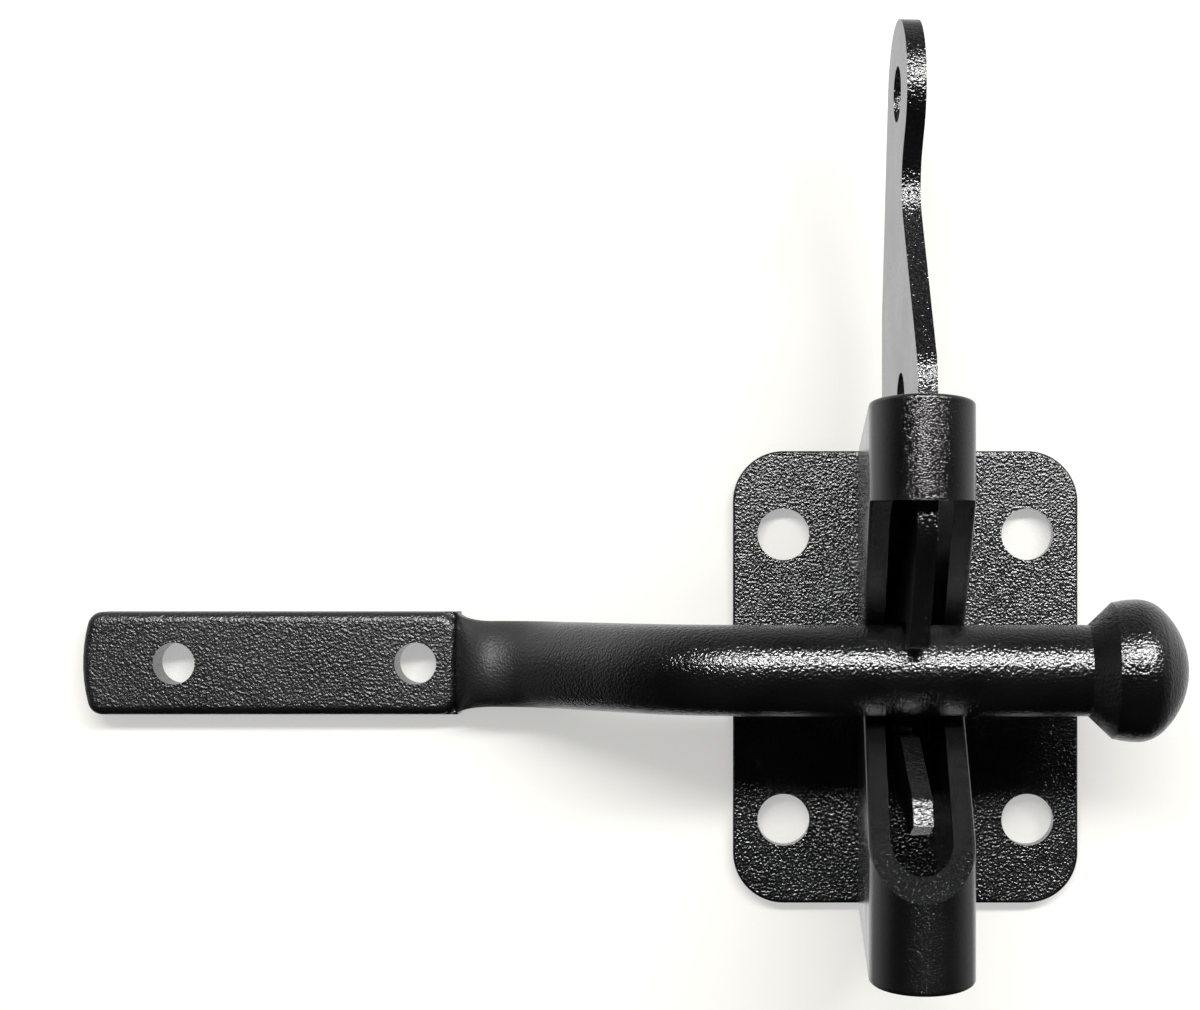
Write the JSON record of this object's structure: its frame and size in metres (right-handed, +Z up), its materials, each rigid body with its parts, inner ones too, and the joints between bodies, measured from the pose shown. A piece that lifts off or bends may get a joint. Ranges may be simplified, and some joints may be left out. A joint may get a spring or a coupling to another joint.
{
  "type": "spring loaded gate latch",
  "caption": "Gate latch: a screw plate with folded funnel jaws and a sprung hooking lever, closed on a forged round striker bar with a knob and a cranked screw foot.",
  "frame": {"origin": "middle of the catch plate's back, in the plane of the post", "axes": "+X along the striker towards its knob, +Z up, +Y into the post; the latch stands out towards -Y"},
  "size_m": [0.1802, 0.054, 0.1482],
  "materials": {
    "plate_coat": "textured black powder coat",
    "jaw_coat": "textured black powder coat",
    "lever_coat": "textured black powder coat",
    "striker_coat": "textured black powder coat",
    "pin_steel": "coated over with the jaws",
    "sleeve_steel": "plain steel",
    "spring_steel": "hard drawn spring wire"
  },
  "bodies": {
    "catch": {"base_plate": "plate_coat", "jaw_channel": "jaw_coat", "pivot_pin": "pin_steel", "spring_sleeve": "sleeve_steel", "torsion_spring": "spring_steel", "striker_bar": "striker_coat"},
    "lever": {"latch_lever": "lever_coat"}
  },
  "joints": [
    {"name": "lever_pivot", "type": "hinge", "parent": "catch", "child": "lever", "pos_m": [0, -0.011, 0.0024], "axis": [-1, 0, 0], "range_deg": [0, 8], "stiffness_Nm_per_rad": 0.19, "springref_deg": -45.84, "deforming": ["torsion_spring"]}
  ]
}
